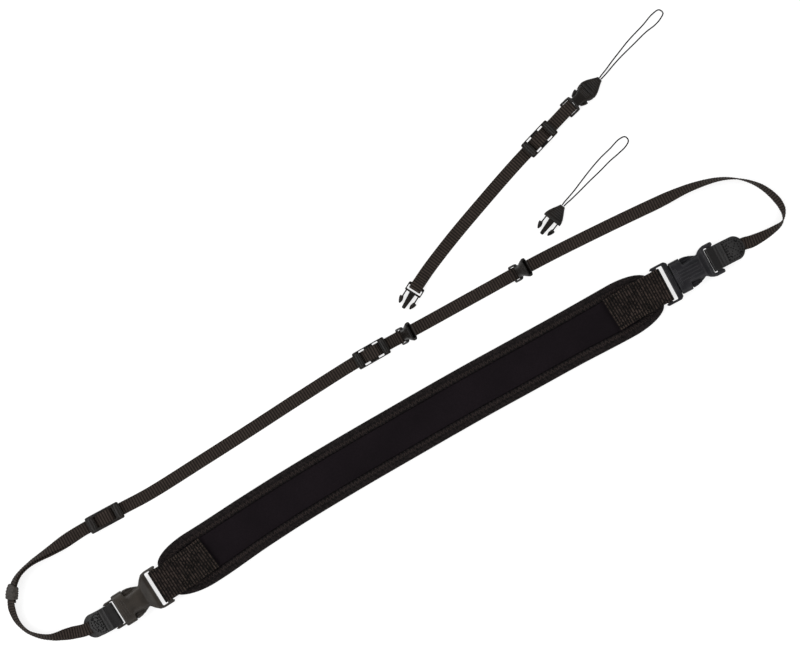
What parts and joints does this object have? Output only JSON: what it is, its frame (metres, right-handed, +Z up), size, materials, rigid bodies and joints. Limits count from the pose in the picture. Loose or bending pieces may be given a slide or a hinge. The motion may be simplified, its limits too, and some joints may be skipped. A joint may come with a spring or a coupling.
{
  "type": "camera sling strap",
  "caption": "Camera sling strap laid flat: bowed shoulder pad, side-release buckles, narrow webbing with sliders and small sockets, a tether and cord loops on plugs.",
  "frame": {"origin": "middle of the shoulder pad's flat underside", "axes": "+X along the pad towards the right buckle, +Y from the pad towards the narrow webbing that runs beside it, +Z up from the surface the strap lies on"},
  "size_m": [0.6819, 0.2095, 0.0215],
  "materials": {
    "pad_panel": "fine black knit over foam, slightly soft sheen",
    "pad_tape": "black woven binding tape with a stitched edge",
    "webbing": "black ribbed webbing",
    "leather_tab": "matt black grained leather-look tab",
    "buckle_plastic": "satin black moulded plastic",
    "hardware_plastic": "satin black moulded plastic",
    "keeper_rubber": "ribbed dark rubber",
    "cord": "thin braided black cord"
  },
  "bodies": {
    "root": {"pad_core": "pad_panel", "pad_binding": "pad_tape", "left_pad_tab": "webbing", "right_pad_tab": "webbing", "left_buckle_socket": "buckle_plastic", "left_buckle_plug": "buckle_plastic", "right_buckle_plug": "buckle_plastic", "right_buckle_socket": "buckle_plastic", "left_end_tab": "leather_tab", "right_end_tab": "leather_tab", "sling_webbing": "webbing", "webbing_tail": "webbing", "keeper_ring": "keeper_rubber", "length_slider": "hardware_plastic", "sling_ladder_slider": "hardware_plastic", "accessory_socket_1": "hardware_plastic", "accessory_socket_2": "hardware_plastic", "tether_webbing": "webbing", "tether_plug": "hardware_plastic", "tether_ladder_slider": "hardware_plastic", "tether_socket": "hardware_plastic", "loop_plug": "hardware_plastic", "loop_cord": "cord", "spare_loop_plug": "hardware_plastic", "spare_loop_cord": "cord"}
  },
  "joints": []
}
